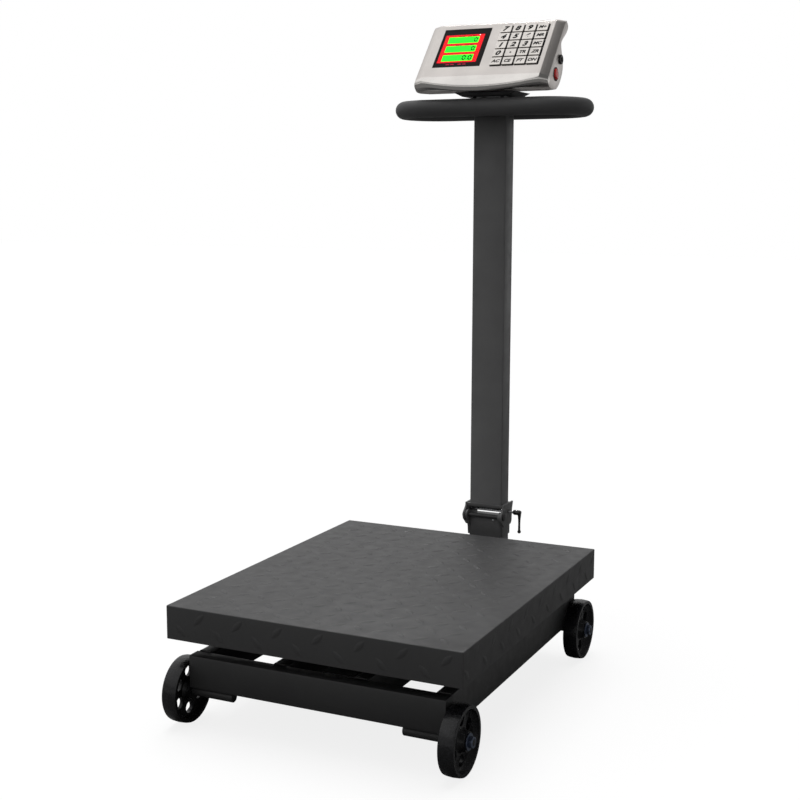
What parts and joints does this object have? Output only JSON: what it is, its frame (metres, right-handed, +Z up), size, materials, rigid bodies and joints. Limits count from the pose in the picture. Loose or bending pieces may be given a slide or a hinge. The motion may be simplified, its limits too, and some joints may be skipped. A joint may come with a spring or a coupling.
{
  "type": "pallet scale",
  "caption": "Platform scale on iron wheels with a checker plate deck, a fold-down mast with a clamp lever, a loop handle and a price indicator with keys.",
  "frame": {"origin": "on the floor, under the middle of the whole object's box", "axes": "+Z up, +Y from the deck's front edge towards the mast, +X to the right seen from the front"},
  "size_m": [0.616, 0.9905, 1.3737],
  "materials": {
    "frame_paint": "satin dark grey paint",
    "mast_paint": "satin dark grey paint",
    "deck_paint": "satin dark grey paint on checker plate",
    "wheel_iron": "black gloss paint over rough casting",
    "nut_steel": "blued steel",
    "pad_rubber": "matt black rubber",
    "cell_aluminium": "machined",
    "lever_black": "black lever on a zinc plated rod",
    "tray_black": "black paint",
    "stainless": "fine satin stainless with a polished lip",
    "dark_plastic": "fine grained moulding",
    "window_black": "gloss black window",
    "board_green": "circuit board lacquer",
    "battery_grey": "matt moulded case",
    "switch_red": "gloss red",
    "socket_black": "black moulding",
    "key_silver": "silver painted keys with dark marks"
  },
  "bodies": {
    "base": {"frame_front_beam": "frame_paint", "frame_rear_beam": "frame_paint", "frame_left_rail": "frame_paint", "frame_right_rail": "frame_paint", "frame_inner_left_rail": "frame_paint", "frame_inner_right_rail": "frame_paint", "cell_base_plate": "frame_paint", "load_cell": "cell_aluminium", "upper_frame": "frame_paint", "cable_box": "frame_paint", "mast_base": "frame_paint", "hinge_pin": "frame_paint", "deck_plate": "deck_paint", "axle_front_left": "frame_paint", "axle_front_right": "frame_paint", "axle_rear_left": "frame_paint", "axle_rear_right": "frame_paint", "axle_nut_front_left": "nut_steel", "axle_nut_front_right": "nut_steel", "axle_nut_rear_left": "nut_steel", "axle_nut_rear_right": "nut_steel", "deck_pad_front_left": "pad_rubber", "deck_pad_front_right": "pad_rubber", "deck_pad_rear_left": "pad_rubber", "deck_pad_rear_right": "pad_rubber"},
    "mast": {"column": "mast_paint", "handle_ring": "mast_paint", "indicator_tray": "tray_black", "indicator_case": "stainless", "back_cover": "dark_plastic", "display_window": "window_black", "circuit_board": "board_green", "battery": "battery_grey", "charge_socket": "socket_black"},
    "lever": {"clamp_lever": "lever_black"},
    "rocker": {"power_switch": "switch_red"},
    "wheel_front_left": {"wheel_front_left": "wheel_iron"},
    "wheel_front_right": {"wheel_front_right": "wheel_iron"},
    "wheel_rear_left": {"wheel_rear_left": "wheel_iron"},
    "wheel_rear_right": {"wheel_rear_right": "wheel_iron"},
    "key_1_1": {"key_1_1": "key_silver"},
    "key_1_2": {"key_1_2": "key_silver"},
    "key_1_3": {"key_1_3": "key_silver"},
    "key_1_4": {"key_1_4": "key_silver"},
    "key_2_1": {"key_2_1": "key_silver"},
    "key_2_2": {"key_2_2": "key_silver"},
    "key_2_3": {"key_2_3": "key_silver"},
    "key_2_4": {"key_2_4": "key_silver"},
    "key_3_1": {"key_3_1": "key_silver"},
    "key_3_2": {"key_3_2": "key_silver"},
    "key_3_3": {"key_3_3": "key_silver"},
    "key_3_4": {"key_3_4": "key_silver"},
    "key_4_1": {"key_4_1": "key_silver"},
    "key_4_2": {"key_4_2": "key_silver"},
    "key_4_3": {"key_4_3": "key_silver"},
    "key_4_4": {"key_4_4": "key_silver"},
    "key_5_1": {"key_5_1": "key_silver"},
    "key_5_2": {"key_5_2": "key_silver"},
    "key_5_3": {"key_5_3": "key_silver"},
    "key_5_4": {"key_5_4": "key_silver"}
  },
  "joints": [
    {"name": "column_fold", "type": "hinge", "parent": "base", "child": "mast", "pos_m": [0, 0.3736, 0.253], "axis": [1, 0, 0], "range_deg": [0, 91]},
    {"name": "wheel_front_left_spin", "type": "hinge", "parent": "base", "child": "wheel_front_left", "pos_m": [-0.28, -0.4321, 0.0635], "axis": [1, 0, 0], "continuous": true},
    {"name": "wheel_front_right_spin", "type": "hinge", "parent": "base", "child": "wheel_front_right", "pos_m": [0.28, -0.4321, 0.0635], "axis": [1, 0, 0], "continuous": true},
    {"name": "wheel_rear_left_spin", "type": "hinge", "parent": "base", "child": "wheel_rear_left", "pos_m": [-0.28, 0.2319, 0.0635], "axis": [1, 0, 0], "continuous": true},
    {"name": "wheel_rear_right_spin", "type": "hinge", "parent": "base", "child": "wheel_rear_right", "pos_m": [0.28, 0.2319, 0.0635], "axis": [1, 0, 0], "continuous": true},
    {"name": "clamp_turn", "type": "hinge", "parent": "mast", "child": "lever", "pos_m": [0, 0.4066, 0.261], "axis": [1, 0, 0], "range_deg": [0, 150]},
    {"name": "power_rocker", "type": "hinge", "parent": "mast", "child": "rocker", "pos_m": [0.156, 0.3676, 1.2505], "axis": [0, 1, 0], "range_deg": [0, 14]},
    {"name": "key_1_1_press", "type": "slide", "parent": "mast", "child": "key_1_1", "axis": [0, 0.7581, -0.6521], "range_m": [0, 0.0012], "stiffness_N_per_m": 400, "springref_m": -0.001},
    {"name": "key_1_2_press", "type": "slide", "parent": "mast", "child": "key_1_2", "axis": [0, 0.7581, -0.6521], "range_m": [0, 0.0012], "stiffness_N_per_m": 400, "springref_m": -0.001},
    {"name": "key_1_3_press", "type": "slide", "parent": "mast", "child": "key_1_3", "axis": [0, 0.7581, -0.6521], "range_m": [0, 0.0012], "stiffness_N_per_m": 400, "springref_m": -0.001},
    {"name": "key_1_4_press", "type": "slide", "parent": "mast", "child": "key_1_4", "axis": [0, 0.7581, -0.6521], "range_m": [0, 0.0012], "stiffness_N_per_m": 400, "springref_m": -0.001},
    {"name": "key_2_1_press", "type": "slide", "parent": "mast", "child": "key_2_1", "axis": [0, 0.7581, -0.6521], "range_m": [0, 0.0012], "stiffness_N_per_m": 400, "springref_m": -0.001},
    {"name": "key_2_2_press", "type": "slide", "parent": "mast", "child": "key_2_2", "axis": [0, 0.7581, -0.6521], "range_m": [0, 0.0012], "stiffness_N_per_m": 400, "springref_m": -0.001},
    {"name": "key_2_3_press", "type": "slide", "parent": "mast", "child": "key_2_3", "axis": [0, 0.7581, -0.6521], "range_m": [0, 0.0012], "stiffness_N_per_m": 400, "springref_m": -0.001},
    {"name": "key_2_4_press", "type": "slide", "parent": "mast", "child": "key_2_4", "axis": [0, 0.7581, -0.6521], "range_m": [0, 0.0012], "stiffness_N_per_m": 400, "springref_m": -0.001},
    {"name": "key_3_1_press", "type": "slide", "parent": "mast", "child": "key_3_1", "axis": [0, 0.7581, -0.6521], "range_m": [0, 0.0012], "stiffness_N_per_m": 400, "springref_m": -0.001},
    {"name": "key_3_2_press", "type": "slide", "parent": "mast", "child": "key_3_2", "axis": [0, 0.7581, -0.6521], "range_m": [0, 0.0012], "stiffness_N_per_m": 400, "springref_m": -0.001},
    {"name": "key_3_3_press", "type": "slide", "parent": "mast", "child": "key_3_3", "axis": [0, 0.7581, -0.6521], "range_m": [0, 0.0012], "stiffness_N_per_m": 400, "springref_m": -0.001},
    {"name": "key_3_4_press", "type": "slide", "parent": "mast", "child": "key_3_4", "axis": [0, 0.7581, -0.6521], "range_m": [0, 0.0012], "stiffness_N_per_m": 400, "springref_m": -0.001},
    {"name": "key_4_1_press", "type": "slide", "parent": "mast", "child": "key_4_1", "axis": [0, 0.7581, -0.6521], "range_m": [0, 0.0012], "stiffness_N_per_m": 400, "springref_m": -0.001},
    {"name": "key_4_2_press", "type": "slide", "parent": "mast", "child": "key_4_2", "axis": [0, 0.7581, -0.6521], "range_m": [0, 0.0012], "stiffness_N_per_m": 400, "springref_m": -0.001},
    {"name": "key_4_3_press", "type": "slide", "parent": "mast", "child": "key_4_3", "axis": [0, 0.7581, -0.6521], "range_m": [0, 0.0012], "stiffness_N_per_m": 400, "springref_m": -0.001},
    {"name": "key_4_4_press", "type": "slide", "parent": "mast", "child": "key_4_4", "axis": [0, 0.7581, -0.6521], "range_m": [0, 0.0012], "stiffness_N_per_m": 400, "springref_m": -0.001},
    {"name": "key_5_1_press", "type": "slide", "parent": "mast", "child": "key_5_1", "axis": [0, 0.7581, -0.6521], "range_m": [0, 0.0012], "stiffness_N_per_m": 400, "springref_m": -0.001},
    {"name": "key_5_2_press", "type": "slide", "parent": "mast", "child": "key_5_2", "axis": [0, 0.7581, -0.6521], "range_m": [0, 0.0012], "stiffness_N_per_m": 400, "springref_m": -0.001},
    {"name": "key_5_3_press", "type": "slide", "parent": "mast", "child": "key_5_3", "axis": [0, 0.7581, -0.6521], "range_m": [0, 0.0012], "stiffness_N_per_m": 400, "springref_m": -0.001},
    {"name": "key_5_4_press", "type": "slide", "parent": "mast", "child": "key_5_4", "axis": [0, 0.7581, -0.6521], "range_m": [0, 0.0012], "stiffness_N_per_m": 400, "springref_m": -0.001}
  ]
}
